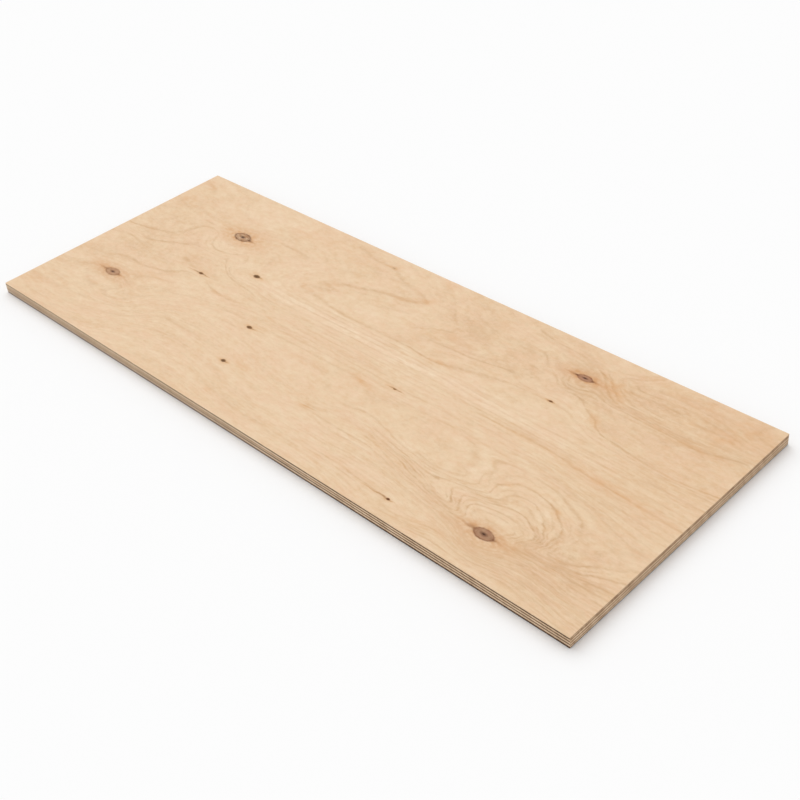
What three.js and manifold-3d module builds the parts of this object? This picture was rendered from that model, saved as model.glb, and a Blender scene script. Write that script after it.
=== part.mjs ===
import * as THREE from 'three';
import { mergeVertices } from 'three/addons/utils/BufferGeometryUtils.js';
import Module from 'manifold-3d';

// Nine-ply birch plywood, one panel cut to size and lying flat with its face up.
// It is made in the order of the real one: veneers are laid up oversize with the grain of
// each across the next, and the glued stack is sawn and its sharp edges are sanded off.
// Millimetres, +Z up. The origin is on the floor under the middle of the panel, and +X runs
// along its length.

const panelLength = 780;
const panelWidth = 300;

const plyCount = 9; // odd, so that the grain is balanced about the middle ply
const innerVeneerThickness = 1.5;
const outerVeneerThickness = 0.75; // face and back lose the rest when the panel is sanded

const sawAllowance = 10; // veneer past the saw line, all round
const cornerRadius = 0.6; // the four sawn corners, seen from above
const arrisEasing = 0.3; // sanded off the sharp edge, round the face and round the back
const cornerSegments = 3;
const arrisSegments = 2;

const panelThickness = 2 * outerVeneerThickness + (plyCount - 2) * innerVeneerThickness;

const finishes = {
  face: { color: 0xe4cbaa, roughness: 0.55, metalness: 0 },
  long: { color: 0xd9bd97, roughness: 0.7, metalness: 0 },
  cross: { color: 0xa98a66, roughness: 0.8, metalness: 0 },
  back: { color: 0xdec3a0, roughness: 0.6, metalness: 0 },
};

const wasm = await Module();
wasm.setup();

function solidFrom(geometry) {
  const bare = geometry.clone();
  bare.deleteAttribute('normal');
  bare.deleteAttribute('uv');
  const merged = mergeVertices(bare);
  const mesh = new wasm.Mesh({
    numProp: 3,
    vertProperties: merged.attributes.position.array,
    triVerts: new Uint32Array(merged.index.array),
  });
  return new wasm.Manifold(mesh);
}

function geometryFrom(solid) {
  const { vertProperties, triVerts } = solid.getMesh();
  const shared = new THREE.BufferGeometry();
  shared.setAttribute('position', new THREE.BufferAttribute(vertProperties, 3));
  shared.setIndex(new THREE.BufferAttribute(triVerts, 1));
  const geometry = shared.toNonIndexed(); // every face keeps its own corners, so it shades flat
  geometry.computeVertexNormals();
  return geometry;
}

// The plies from the face down. Odd ones run along the panel and even ones across it.
function layUp() {
  const plies = [];
  let top = panelThickness;
  for (let number = 1; number <= plyCount; number += 1) {
    const grain = number % 2 === 1 ? 'long' : 'cross';
    const ply = { name: `${grain}_ply_${number}`, finish: grain, top, thickness: innerVeneerThickness };
    if (number === 1) {
      Object.assign(ply, { name: 'face_veneer', finish: 'face', thickness: outerVeneerThickness });
    }
    if (number === plyCount) {
      Object.assign(ply, { name: 'back_veneer', finish: 'back', thickness: outerVeneerThickness });
    }
    plies.push(ply);
    top -= ply.thickness;
  }
  return plies;
}

function oversizeVeneer(ply) {
  const sheet = new THREE.BoxGeometry(
    panelLength + 2 * sawAllowance,
    panelWidth + 2 * sawAllowance,
    ply.thickness,
  );
  sheet.translate(0, 0, ply.top - ply.thickness / 2);
  return solidFrom(sheet);
}

function panelOutline() {
  const x = panelLength / 2 - cornerRadius;
  const y = panelWidth / 2 - cornerRadius;
  const quarter = Math.PI / 2;
  const outline = new THREE.Shape();
  outline.absarc(x, y, cornerRadius, 0, quarter);
  outline.absarc(-x, y, cornerRadius, quarter, 2 * quarter);
  outline.absarc(-x, -y, cornerRadius, 2 * quarter, 3 * quarter);
  outline.absarc(x, -y, cornerRadius, 3 * quarter, 4 * quarter);
  return outline;
}

// What is left of the stack after sawing and sanding.
function sawnAndSanded() {
  const panel = new THREE.ExtrudeGeometry(panelOutline(), {
    depth: panelThickness - 2 * arrisEasing,
    curveSegments: cornerSegments,
    bevelEnabled: true,
    bevelThickness: arrisEasing,
    bevelSize: arrisEasing,
    bevelOffset: -arrisEasing,
    bevelSegments: arrisSegments,
  });
  panel.translate(0, 0, arrisEasing);
  return solidFrom(panel);
}

function makePanel() {
  const panel = new THREE.Group();
  const sawn = sawnAndSanded();
  layUp().forEach((ply) => {
    const geometry = geometryFrom(oversizeVeneer(ply).intersect(sawn));
    const veneer = new THREE.Mesh(geometry, new THREE.MeshStandardMaterial(finishes[ply.finish]));
    veneer.name = ply.name;
    panel.add(veneer);
  });
  return panel;
}

export default makePanel();
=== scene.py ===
import math

import bpy
import numpy as np
from mathutils import Matrix, Vector


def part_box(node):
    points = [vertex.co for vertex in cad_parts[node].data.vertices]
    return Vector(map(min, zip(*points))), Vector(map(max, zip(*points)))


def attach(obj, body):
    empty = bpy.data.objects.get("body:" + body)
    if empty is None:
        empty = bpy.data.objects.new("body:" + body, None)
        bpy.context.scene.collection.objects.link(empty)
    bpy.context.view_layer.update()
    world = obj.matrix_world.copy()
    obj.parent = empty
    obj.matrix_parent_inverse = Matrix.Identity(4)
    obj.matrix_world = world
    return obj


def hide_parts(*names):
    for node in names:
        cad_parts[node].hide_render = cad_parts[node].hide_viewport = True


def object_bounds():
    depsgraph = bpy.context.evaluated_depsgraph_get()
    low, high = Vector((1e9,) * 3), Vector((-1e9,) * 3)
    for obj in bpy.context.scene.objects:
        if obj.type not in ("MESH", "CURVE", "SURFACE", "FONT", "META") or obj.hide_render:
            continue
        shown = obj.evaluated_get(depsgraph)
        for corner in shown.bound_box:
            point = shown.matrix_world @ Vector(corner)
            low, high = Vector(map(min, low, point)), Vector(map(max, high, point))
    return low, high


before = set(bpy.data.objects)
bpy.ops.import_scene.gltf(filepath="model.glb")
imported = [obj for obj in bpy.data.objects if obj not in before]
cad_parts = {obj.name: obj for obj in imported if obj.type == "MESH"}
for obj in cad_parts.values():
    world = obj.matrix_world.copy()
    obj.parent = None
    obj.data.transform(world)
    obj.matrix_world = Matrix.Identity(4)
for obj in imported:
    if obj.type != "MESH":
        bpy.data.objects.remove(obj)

mm = 0.001
hair = 1e-6              # mm, too small to matter
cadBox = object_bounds()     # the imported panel, before anything is drawn round it
panelHalf = cadBox[1].x / mm, cadBox[1].y / mm    # half its length and half its width, mm
rounding = 1 - math.sqrt(0.5)    # how far a rounded corner stays inside the square one, in radii

print("camera, floor and lights")

cameraSetup = {
    "place": (780.0, -644.5, 732.1),   # mm
    "turn": 47.98,                     # degrees round from the front edge
    "tilt": 37.96,                     # degrees down
    "roll": -5.77,
    "lens": 57.3,                      # mm
    "sensor": 36.0,                    # mm
    "nearest": 0.01,                   # m, anything nearer isn't drawn
}


def makeCamera(setup):
    turn, tilt, roll = (math.radians(setup[angle]) for angle in ("turn", "tilt", "roll"))
    back = Vector((math.sin(turn) * math.cos(tilt), -math.cos(turn) * math.cos(tilt), math.sin(tilt)))
    right = Vector((math.cos(turn), math.sin(turn), 0.0))
    up = back.cross(right)
    rolledRight = right * math.cos(roll) + up * math.sin(roll)
    rolledUp = up * math.cos(roll) - right * math.sin(roll)
    data = bpy.data.cameras.new("camera")
    data.lens = setup["lens"]
    data.sensor_width = setup["sensor"]
    data.clip_start = setup["nearest"]
    camera = bpy.data.objects.new("camera", data)
    axes = Matrix((rolledRight, rolledUp, back)).transposed().to_4x4()
    camera.matrix_world = Matrix.Translation(Vector(setup["place"]) * mm) @ axes
    bpy.context.scene.collection.objects.link(camera)
    bpy.context.scene.camera = camera


# a value worked out by a node: adding, multiplying and so on make the next maths node
class Value:
    def __init__(self, socket):
        self.socket = socket
        self.tree = socket.id_data

    def __add__(self, other):
        return calc("ADD", self, other)

    def __radd__(self, other):
        return calc("ADD", other, self)

    def __sub__(self, other):
        return calc("SUBTRACT", self, other)

    def __rsub__(self, other):
        return calc("SUBTRACT", other, self)

    def __mul__(self, other):
        return calc("MULTIPLY", self, other)

    def __truediv__(self, other):
        return calc("DIVIDE", self, other)

    def __pow__(self, other):
        return calc("POWER", self, other)

    def __abs__(self):
        return calc("ABSOLUTE", self)


# a plain number, a colour or a worked out value goes into a socket the same way
def put(value, socket):
    if isinstance(value, Value):
        value.tree.links.new(value.socket, socket)
    else:
        socket.default_value = value


def calc(operation, *values):
    tree = next(value.tree for value in values if isinstance(value, Value))
    node = tree.nodes.new("ShaderNodeMath")
    node.operation = operation
    for value, socket in zip(values, node.inputs):
        put(value, socket)
    return Value(node.outputs[0])


# what runs from low to high is made to run from toLow to toHigh, and goes no further
def spread(value, low, high, toLow=0.0, toHigh=1.0, smooth=False):
    node = value.tree.nodes.new("ShaderNodeMapRange")
    node.interpolation_type = "SMOOTHSTEP" if smooth else "LINEAR"
    sockets = ("Value", "From Min", "From Max", "To Min", "To Max")
    for name, amount in zip(sockets, (value, low, high, toLow, toHigh)):
        put(amount, node.inputs[name])
    return Value(node.outputs["Result"])


# a soft hump, 1 at nothing and gone by twice the width
def hump(distance, width):
    ratio = distance / width
    return calc("EXPONENT", ratio * ratio * -1.0)


def vector(x, y, z=0.0):
    node = x.tree.nodes.new("ShaderNodeCombineXYZ")
    for value, socket in zip((x, y, z), node.inputs):
        put(value, socket)
    return Value(node.outputs[0])


# shift picks one of the noise's endless patterns
def cloud(place, detail, rough, shift, scale=1.0):
    node = place.tree.nodes.new("ShaderNodeTexNoise")
    node.noise_dimensions = "4D"
    sockets = ("Vector", "W", "Scale", "Detail", "Roughness")
    for name, value in zip(sockets, (place, shift, scale, detail, rough)):
        put(value, node.inputs[name])
    return Value(node.outputs["Fac"])


# tone round nothing in patches, given as their length and width in mm, detail, roughness and shift
def patches(x, y, settings):
    long, wide, *noise = settings
    return cloud(vector(x * (1 / long), y * (1 / wide)), *noise) - 0.5


def blend(amount, first, second):
    node = amount.tree.nodes.new("ShaderNodeMix")
    node.data_type = "RGBA"
    for value, number in ((amount, 0), (first, 6), (second, 7)):    # the last two are its colours
        put(value, node.inputs[number])
    return Value(node.outputs[2])


# colours are written as they look on the sheet, 0 to 255, and turned to light by the sRGB rule
def paint(red, green, blue):
    light = []
    for level in (red, green, blue):
        level = level / 255
        light.append(level / 12.92 if level <= 0.04045 else ((level + 0.055) / 1.055) ** 2.4)
    return (*light, 1.0)


def attribute(tree, name):
    node = tree.nodes.new("ShaderNodeAttribute")
    node.attribute_name = name
    return Value(node.outputs["Fac"])


# the place on the sheet in mm, as one vector and as a list of x, y, z
def sheetPlace(tree):
    node = tree.nodes.new("ShaderNodeTexCoord")
    scale = tree.nodes.new("ShaderNodeVectorMath")
    scale.operation = "SCALE"
    scale.inputs["Scale"].default_value = 1 / mm
    tree.links.new(node.outputs["Object"], scale.inputs[0])
    split = tree.nodes.new("ShaderNodeSeparateXYZ")
    tree.links.new(scale.outputs[0], split.inputs[0])
    return Value(scale.outputs[0]), [Value(socket) for socket in split.outputs]


def woodMaterial(name):
    material = bpy.data.materials.new(name)
    material.use_nodes = True
    return material, material.node_tree, material.node_tree.nodes["Principled BSDF"]


def toneRamp(tone, stops):
    node = tone.tree.nodes.new("ShaderNodeValToRGB")
    ramp = node.color_ramp
    while len(ramp.elements) < len(stops):
        ramp.elements.new(0.5)
    for element, (place, colour) in zip(ramp.elements, stops):
        element.position = place
        element.color = paint(*colour)
    put(tone, node.inputs["Fac"])
    return Value(node.outputs["Color"])


def surface(shader, colour, roughness, height, finish):
    put(colour, shader.inputs["Base Color"])
    put(0.2, shader.inputs["Specular IOR Level"])    # bare dry wood
    put(roughness, shader.inputs["Roughness"])
    bump = height.tree.nodes.new("ShaderNodeBump")
    put(1.0, bump.inputs["Strength"])
    put(finish["bumpDepth"] * mm, bump.inputs["Distance"])
    put(height, bump.inputs["Height"])
    put(Value(bump.outputs["Normal"]), shader.inputs["Normal"])


studio = {
    "floorSize": 12.0,                 # m
    "floorColour": (0.93, 0.93, 0.93),
    "skyStrength": 0.715,              # the light it sheds
    "skySeen": 1.0,                    # how bright it looks behind the floor
    "keyFrom": (-0.65, 0.30, 1.0),     # a very wide soft light, over the left end and a little behind
    "keyAngle": 62.0,                  # degrees
    "keyStrength": 1.31,
}


def makeFloor(setup):
    half = setup["floorSize"] / 2
    mesh = bpy.data.meshes.new("floor")
    corners = [(-half, -half, 0), (half, -half, 0), (half, half, 0), (-half, half, 0)]
    mesh.from_pydata(corners, [], [(0, 1, 2, 3)])
    floor = bpy.data.objects.new("floor", mesh)
    bpy.context.scene.collection.objects.link(floor)
    material = bpy.data.materials.new("paper white floor")
    material.use_nodes = True
    paper = material.node_tree.nodes["Principled BSDF"]
    paper.inputs["Base Color"].default_value = (*setup["floorColour"], 1)
    paper.inputs["Roughness"].default_value = 1.0
    paper.inputs["Specular IOR Level"].default_value = 0.0
    mesh.materials.append(material)


# 1 for what the camera sees straight, as a reflection or through glass
def seenDirectly(tree):
    path = tree.nodes.new("ShaderNodeLightPath").outputs
    seen = calc("MAXIMUM", Value(path["Is Camera Ray"]), Value(path["Is Glossy Ray"]))
    return calc("MAXIMUM", seen, Value(path["Is Transmission Ray"]))


def makeLights(setup):
    world = bpy.data.worlds.new("studio")
    bpy.context.scene.world = world
    world.use_nodes = True
    tree = world.node_tree
    sky = tree.nodes["Background"]
    sky.inputs["Color"].default_value = (1, 1, 1, 1)
    put(spread(seenDirectly(tree), 0, 1, setup["skyStrength"], setup["skySeen"]), sky.inputs["Strength"])
    data = bpy.data.lights.new("key", "SUN")
    data.angle = math.radians(setup["keyAngle"])
    data.energy = setup["keyStrength"]
    key = bpy.data.objects.new("key", data)
    key.rotation_euler = Vector(setup["keyFrom"]).to_track_quat("Z", "Y").to_euler()
    bpy.context.scene.collection.objects.link(key)


makeCamera(cameraSetup)
makeFloor(studio)
makeLights(studio)
bpy.context.scene.view_settings.view_transform = "Standard"

print("growth rings of the face")

# ring number, how dark it is drawn, and points along it in mm from the middle of the sheet
ringLines = [
    # the long flame behind the middle
    (20, 0.8, [(203, 57), (185, 57.5), (165, 57.5), (150, 54), (125, 47.5), (110, 44)]),
    (20, 1.3, [(110, 44), (98, 41.5), (88, 38.5), (74, 35.5), (60, 36.5), (40, 38.5)]),
    (20, 0.75, [(40, 38.5), (15, 38), (-15, 37), (-45, 37)]),
    (20, 0.7, [(-45, 37), (-70, 39.5), (-90, 43), (-110, 45.5), (-126, 47.5), (-114, 53.5), (-100, 57.5),
        (-87, 61)]),
    (20, 0.8, [(-87, 61), (-97, 65), (-109, 69), (-96, 74), (-75, 80)]),
    (20, 0.8, [(-75, 80), (-55, 87), (-38, 92), (-20, 94.5), (-5, 98.5), (3, 104.5)]),
    (20, 0.6, [(3, 104.5), (-3, 110), (-20, 113.5), (-36, 117), (-50, 122), (-66, 130), (-82, 131),
        (-98, 130), (-112, 134), (-130, 140)]),
    # the loop inside it
    (21, 1.0, [(60, 82), (48, 77.5), (36, 71.5), (27, 66)]),
    (21, 0.4, [(27, 66), (38, 63), (50, 61.5)]),
    (21, 0.9, [(50, 61.5), (65, 61), (82, 61), (98, 62), (112, 63.5), (128, 67), (143, 71)]),
    (21, 0.5, [(143, 71), (155, 75.5), (165, 82)]),
    (22, 0.4, [(52, 72), (62, 69.5), (78, 72), (98, 74)]),
    (22, 0.5, [(62, 115), (75, 116), (85, 112), (97, 106)]),
    # round the flat knot near the back edge: the rings hang under it in a cup and slant past its right end
    (22, 0.7, [(151, 113), (158.5, 107), (165.5, 100.5), (167.5, 92), (165, 82)]),
    (21.5, 0.4, [(140, 106), (150, 102), (157, 96), (158, 88), (152, 80), (143, 77)]),
    (22.5, 0.5, [(166, 111), (174, 105), (182, 96)]),
    (22, 0.6, [(183, 94), (183, 87), (184.5, 78.5), (185, 71.5), (180, 65.5), (173, 61.5)]),
    (22, 0.9, [(187, 95), (188.5, 88.5), (194, 83), (203, 79.3), (215, 79.8), (221.5, 77)]),
    (22.5, 0.5, [(189.5, 96), (191, 89.5), (196, 84.5), (205, 82), (214, 83), (221, 86), (228, 87)]),
    (23, 0.7, [(192.5, 96), (194, 90), (199, 86.5), (208, 85.5), (216.5, 88.5), (223, 92.5), (229, 92.5),
        (240, 88)]),
    (23.5, 0.6, [(197, 96), (200, 91.5), (207, 90), (215, 92.5), (221, 97.5), (226, 99), (234, 95),
        (246, 90), (258, 88.5)]),
    (24, 0.5, [(198, 126.5), (206, 123.5), (214, 120)]),
    (24, 1.4, [(214, 120), (221.5, 116), (230, 107), (238.5, 98.5), (243.5, 94.5), (249, 91.5)]),
    (24.5, 1.2, [(220, 121), (228.5, 114.5), (232, 111), (236, 107), (244, 101)]),
    (24.5, 0.4, [(244, 101), (254, 96), (275, 94), (300, 92.5), (330, 92), (352, 93)]),
    (25, 0.9, [(244, 108.5), (251.5, 104.5), (259, 101.5), (264, 97.5)]),
    (25, 0.5, [(264, 97.5), (280, 97), (300, 95.7), (331, 95.7), (350, 97), (372, 97.5), (395, 98)]),
    (25.5, 0.4, [(250, 110), (262, 107), (277, 103), (294, 101), (320, 102), (350, 103), (362, 101),
        (395, 102)]),
    (26, 0.8, [(251, 113), (267, 113.5), (277, 115.5), (287, 116), (300, 115)]),
    (26, 0.4, [(300, 115), (330, 110), (345, 112), (355, 113), (362, 108), (374, 106), (395, 107)]),
    (26.5, 0.7, [(246, 124), (256, 120.7), (267, 122), (280, 123), (301, 124.3)]),
    (26.5, 0.4, [(301, 124.3), (330, 119), (350, 118), (364, 113), (380, 111), (395, 112)]),
    (27, 0.5, [(262, 128), (275, 130), (300, 131), (315, 130), (333, 128), (350, 124), (366, 119),
        (395, 117)]),
    (28, 0.8, [(372, 144), (371, 137), (368.5, 131.5), (377, 128), (390, 125)]),
    (27.5, 0.4, [(275, 138), (300, 136), (332, 133), (350, 129), (364, 124), (395, 121)]),
    (24, 0.8, [(128, 138), (140, 134.5), (150, 132.7), (160, 131.7), (173, 131.4), (187, 129.3),
        (198, 126.5)]),
    (24.5, 0.5, [(180, 136), (194, 132), (206, 131), (220, 128)]),
    (25, 0.6, [(198, 133.5), (208, 133), (222, 133), (235, 132), (246, 138), (258, 146)]),
    (25.5, 0.6, [(235, 128), (244, 130), (254, 137), (264, 146)]),
    # the line running out to the right end
    (20, 0.5, [(203, 57.5), (215, 57), (232, 54), (246, 48), (262, 41), (290, 38), (340, 35), (395, 37)]),
    (22, 0.9, [(221.5, 77), (230, 70), (238.5, 65.7)]),
    (22, 1.1, [(238.5, 65.7), (250, 60), (257, 52), (270, 47)]),
    (22, 1.4, [(270, 47), (285, 45), (300, 43), (311, 41.5)]),
    (22, 0.8, [(311, 41.5), (330, 40), (345, 39), (365, 40)]),
    (22, 1.3, [(365, 40), (375, 42.5), (395, 44)]),
    (22.5, 0.4, [(285, 66), (310, 60), (340, 57), (370, 56), (395, 54)]),
    (23, 0.8, [(250, 85.7), (262, 86.5), (272, 86), (280, 85), (294, 84.6), (311, 84.3), (330, 83.6),
        (344, 82.6)]),
    (23, 1.1, [(344, 82.6), (353, 84.3), (361, 87.9), (373, 91.4), (383, 94)]),
    # straight grain along the middle, a minus sign is a pale streak
    (19.5, -0.7, [(-120, 34.5), (-60, 34), (0, 34), (60, 34.5), (85, 31.5), (120, 30), (200, 30)]),
    (19, 0.25, [(-100, 31), (0, 31.5), (60, 31), (90, 29.5), (200, 28), (262, 30), (300, 29), (395, 30)]),
    (18.5, -0.3, [(-120, 29.5), (0, 29.5), (60, 29.5), (200, 27), (300, 27)]),
    (18, 0.4, [(-120, 28), (-30, 27), (30, 27.5), (90, 27.5), (150, 25.5), (200, 25.5), (300, 24),
        (395, 22)]),
    (17.5, -1.0, [(-200, 24.5), (-120, 24.2), (-60, 23.5), (0, 24.3), (60, 25.3), (110, 25), (150, 22.5),
        (200, 22)]),
    (17, 0.35, [(-130, 20.5), (-30, 20.5), (30, 22), (90, 22.5), (150, 19), (200, 18), (300, 17), (395, 15)]),
    (16.5, -0.8, [(-200, 17), (-120, 16.5), (-60, 16.5), (0, 18), (60, 18.7), (110, 17.5), (150, 15),
        (200, 15)]),
    (16, 0.45, [(-140, 12), (-45, 12.5), (30, 14.5), (90, 14.5), (150, 11.5), (200, 11.5), (300, 9),
        (395, 7)]),
    (15, 0.3, [(-150, 7.5), (-45, 7), (80, 9), (150, 8), (200, 8), (300, 4.5), (395, 0)]),
    (14, 1.0, [(165, 4), (185, 4.5), (215, 4.5), (240, 4.5), (262, 3)]),
    (14, 0.8, [(262, 2), (275, 0), (290, -1), (320, -3), (345, -5), (370, -7), (395, -8)]),
    (14, 0.4, [(-60, 2.5), (0, 4), (80, 4.5), (165, 4)]),
    (13, 0.3, [(-60, -3), (80, -2), (200, -2), (300, -9), (395, -17)]),
    (12, 0.3, [(-60, -9), (80, -8), (200, -8), (300, -14), (395, -24)]),
    (11, 0.4, [(-150, -19), (-60, -15), (80, -14), (200, -14), (300, -19), (395, -32)]),
    (10, 0.4, [(-150, -26), (-60, -21), (80, -21), (200, -20), (270, -22), (320, -29), (395, -41)]),
    (9, 0.4, [(-150, -32), (-60, -29), (80, -27), (150, -25), (200, -25), (270, -26), (320, -35),
        (360, -44), (395, -50)]),
    # left end
    (17, 0.7, [(-395, 134), (-380, 131), (-370, 127), (-360, 123)]),
    (16, 0.5, [(-380, 85), (-372, 83), (-365, 78)]),
    (15.5, 0.6, [(-395, 62), (-378, 65), (-370, 69), (-362, 72)]),
    (16, 1.0, [(-313, 73), (-302, 71)]),
    (15, 0.8, [(-395, 16), (-375, 17), (-365, 19), (-350, 23), (-340, 26), (-332, 28), (-322, 34),
        (-316, 42), (-314, 48), (-310, 55), (-305, 62), (-295, 66)]),
    (15, 0.7, [(-275, 52), (-268, 44), (-262, 40), (-252, 38), (-243, 39), (-232, 43), (-227, 47),
        (-224, 55)]),
    (16, 0.4, [(-266, 58), (-258, 52), (-248, 51), (-238, 55), (-234, 60)]),
    (14, 0.8, [(-342, 4), (-335, 6), (-325, 10), (-315, 14), (-305, 19), (-292, 24), (-286, 28)]),
    (14, 0.5, [(-286, 28), (-284, 34), (-287, 40), (-290, 47), (-293, 53), (-290, 60)]),
    (14, 0.8, [(-230, 33), (-222, 26), (-212, 20), (-205, 15), (-197, 11), (-185, 9), (-170, 7.5),
        (-155, 5.5)]),
    (15, 0.5, [(-212, 48), (-204, 36), (-192, 26), (-175, 20), (-150, 14)]),
    (13, 0.6, [(-395, -9), (-378, -5), (-370, -3), (-352, 0)]),
    (13, 0.9, [(-268, 6), (-258, 2), (-250, -1), (-240, -3)]),
    (13, 0.4, [(-220, -4), (-200, -3), (-170, -3), (-120, -4)]),
    (12, 0.5, [(-210, -8), (-200, -16)]),
    (12, 1.1, [(-200, -16), (-190, -17), (-175, -17.5), (-160, -18.5), (-150, -19)]),
    (17, 1.2, [(-203, 91), (-195, 91), (-186, 91)]),
    (17, 0.5, [(-186, 91), (-160, 90)]),
    (18, 0.4, [(-310, 140), (-290, 112), (-268, 100)]),
    # round the left knot
    (12, 0.9, [(-350, -45), (-343, -40), (-336, -36), (-328, -34), (-318, -32), (-305, -33), (-292, -33),
        (-282, -30), (-270, -27), (-263, -24), (-255, -19), (-248, -12), (-240, -8)]),
    (11, 0.6, [(-284, -57), (-280, -50), (-272, -42), (-262, -40), (-252, -37), (-240, -36)]),
    (10, 0.6, [(-290, -60), (-283, -65), (-277, -72), (-270, -80), (-276, -88)]),
    (8, 0.6, [(-345, -72), (-330, -82), (-315, -88), (-300, -87), (-288, -82), (-280, -75)]),
    (10, 0.6, [(-395, -75), (-380, -74.5), (-370, -72), (-362, -69)]),
    (8, 0.4, [(-395, -96), (-365, -95), (-355, -96)]),
    # middle, front half
    (3, 0.4, [(-200, -80), (-185, -81), (-165, -81)]),
    (4, 0.4, [(-175, -75), (-160, -72), (-150, -71)]),
    (8, 0.6, [(58, -66), (70, -61.5), (80, -60), (90, -59)]),
    (5, 0.8, [(31, -87), (45, -84.5), (55, -81)]),
    (5, 0.5, [(55, -81), (80, -78), (107, -79)]),
    (5, 0.9, [(107, -79), (120, -81), (135, -84), (149, -86), (161.5, -89.5), (176, -94), (190, -96.5),
        (204, -99.5), (214, -103), (228, -106)]),
    (4, 0.8, [(108, -83), (118, -85), (128, -87), (140, -90)]),
    (4, 0.7, [(140, -90.5), (151, -94), (163, -97), (174.5, -99.5), (200, -103.5), (236, -108)]),
    (3, 0.8, [(31, -89), (40, -89.5), (60, -91), (90, -92), (120, -92), (145, -96)]),
    (3, 0.5, [(145, -96), (170, -101), (205, -106), (235, -109.5)]),
    (2, 0.4, [(60, -98), (120, -97), (160, -103), (200, -109), (228, -113)]),
    (-2, 0.8, [(128, -126.5), (140, -127), (150, -127.5), (170, -128.5), (180, -129)]),
    # the eye round the front right knot: a ring runs in to the knot's end, folds back and goes over the top
    (8, 0.5, [(90, -59), (105, -63), (125, -67.5), (140, -71), (160, -74.5), (180, -77), (195, -77),
        (206, -75), (216, -73.5), (224, -71.5), (226.5, -67), (224.5, -63), (223, -57), (225.5, -53),
        (227, -48.5), (225.5, -43), (220, -35.5), (223, -31), (240, -29.5), (262, -31)]),
    (8, 0.9, [(262, -31), (277, -32), (290, -35), (300, -40.5), (311, -44.5), (320, -48), (324.5, -54.5)]),
    (8, 0.5, [(324.5, -54.5), (326, -60), (331, -67), (330, -74), (328.5, -80), (326, -87), (321, -93.5)]),
    (8, 0.6, [(323, -97), (335, -95), (346, -91.5), (352, -87.5), (358.5, -83), (368.5, -78.5),
        (374.5, -75.5), (383, -70), (395, -62)]),
    (8.5, 0.7, [(160, -71), (178, -73), (195, -72), (206, -69), (208.5, -65.5), (206, -58.5),
        (204.5, -54.5), (208.5, -51), (211, -47), (208, -45.5), (201.5, -41.5), (194.5, -35.5), (187, -30),
        (176, -26.5)]),
    (8.5, 0.5, [(240, -18.5), (261.5, -20), (283, -24.5), (301, -28.5), (318.5, -31.5), (326, -34.5),
        (334, -40), (344, -47), (355, -54), (360, -60), (350, -71), (343, -78.5), (341, -86)]),
    (7, 0.8, [(107, -71), (125, -75), (140, -78), (155, -78.5)]),
    (7, 0.5, [(155, -78.5), (168, -80), (180, -84), (192, -89.5), (203, -95.5), (211, -99)]),
    (7, 0.8, [(213, -96.5), (205, -90), (197.5, -84.5), (190, -81), (200, -79.5), (215, -77.5), (228, -75)]),
    (7, 0.6, [(228, -75), (238, -72), (242, -67), (240, -61), (235, -57)]),
    (7, 1.4, [(235, -57), (241, -56), (246, -53), (249.5, -49), (253, -46.5)]),
    (7, 0.9, [(253, -46.5), (261.5, -44.5), (276, -46), (290, -48.5)]),
    (7, 1.5, [(290, -48.5), (297, -50.5), (300, -53), (303, -57)]),
    (7, 0.8, [(303, -57), (311.5, -61.5), (317, -67), (318.5, -72), (315, -78), (316, -84), (312, -92),
        (306, -98)]),
    (7, 0.6, [(309, -101), (323, -99), (340, -96.5), (347, -96.5)]),
    (7, 1.0, [(347, -96.5), (356, -95), (363, -90.5), (371.5, -87), (383, -83.5), (395, -79)]),
    (6, 0.5, [(107, -75.5), (125, -79), (140, -81.5), (155, -84.5), (170, -88), (185, -92), (200, -96.5),
        (212, -100.5), (222, -103)]),
    (6, 0.9, [(225, -99), (220, -92), (214.5, -87), (210, -83)]),
    (6, 0.6, [(210, -83), (222, -80), (236, -77), (247, -74), (255.5, -70), (254, -63), (257, -58),
        (266, -55.5)]),
    (6, 0.8, [(266, -55.5), (283, -57), (291.5, -63.5), (298, -69.5), (304.5, -76), (310, -81.5),
        (311.5, -87), (307, -94), (301, -99.5)]),
    (6, 0.6, [(304, -103), (320, -101.5), (340, -100), (360, -99), (395, -95)]),
    (5, 0.8, [(235, -102), (229, -94), (223.5, -86.5)]),
    (5, 0.6, [(223.5, -86.5), (229, -84), (236, -82), (245, -79.5), (253, -77)]),
    (5, 1.1, [(253, -77), (262, -74.5), (274.5, -72.5), (284.5, -73.5), (291.5, -77), (300, -82),
        (305, -88), (302, -94), (297, -99)]),
    (5, 0.6, [(300, -105.5), (312, -104.5), (330, -104), (354, -104.5), (395, -104.5)]),
    (4, 0.6, [(241, -101), (238, -95), (236, -90), (243, -86), (255, -83), (270, -81), (284, -83),
        (293, -88), (297, -93), (293, -99)]),
    (4, 0.5, [(300, -109), (315, -108), (340, -108.5), (395, -110)]),
    (3.5, 0.5, [(244, -99), (247, -93), (256, -90), (272, -89), (286, -91), (290, -95), (288, -99)]),
    (3, 0.5, [(235, -109.5), (245, -112.5), (254.5, -118.5), (266, -123), (277, -123.5), (288.5, -119.5),
        (297, -114.5), (308.5, -111.5), (326, -112), (347, -114.5), (363, -118), (395, -116.5)]),
    (2, 0.5, [(228, -113), (243, -117.5), (255, -123.5), (268, -127), (283, -126), (296, -121), (308, -117),
        (330, -116.5), (350, -119.5), (370, -122), (395, -121)]),
    (1, 0.3, [(200, -114), (240, -121), (256, -126.5), (270, -129.5), (285, -128.5), (300, -124),
        (320, -120.5), (350, -123), (395, -125.5)]),
    (0, 0.4, [(200, -119), (240, -124.5), (258, -129), (272, -131.5), (290, -129.5), (305, -126),
        (325, -123.5), (350, -126.5), (395, -129.5)]),
    (-2, 1.0, [(181, -139), (197, -138.5), (206, -137), (220, -135.5), (228.5, -132), (238.5, -130.5)]),
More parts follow.
